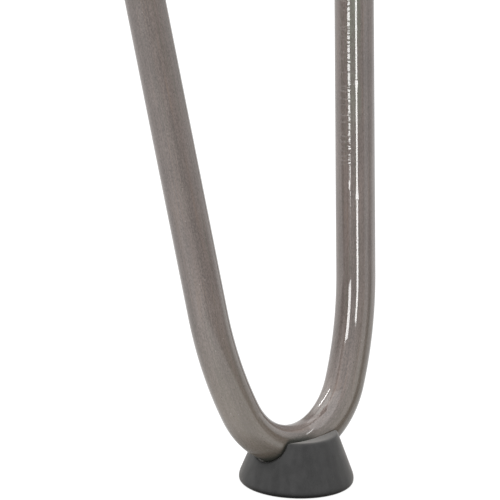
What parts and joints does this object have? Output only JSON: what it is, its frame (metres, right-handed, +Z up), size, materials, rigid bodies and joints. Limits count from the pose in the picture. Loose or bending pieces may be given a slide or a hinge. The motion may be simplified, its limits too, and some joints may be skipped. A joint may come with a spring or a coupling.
{
  "type": "hairpin table leg",
  "caption": "Hairpin table leg: a round steel bar bent to a leaning V, welded under a flat corner mounting plate with screw holes, with a cone-shaped rubber foot gripping the bend.",
  "frame": {"origin": "centre of the mounting plate's top face, where the table rests, at the middle of the four screw holes", "axes": "+Z up through the plate, the V opens along X, and going down it leans towards -Y, the outer corner of the table"},
  "size_m": [0.183, 0.1589, 0.406],
  "materials": {
    "lacquered_bar_steel": "drawn raw steel bar under clear lacquer",
    "lacquered_plate_steel": "raw steel plate under clear lacquer",
    "weld_steel": "rippled weld bead under clear lacquer",
    "black_rubber": "matt moulded rubber"
  },
  "bodies": {
    "root": {"hairpin_rod": "lacquered_bar_steel", "mounting_plate": "lacquered_plate_steel", "weld_bead_left": "weld_steel", "weld_bead_right": "weld_steel", "rubber_foot": "black_rubber"}
  },
  "joints": []
}
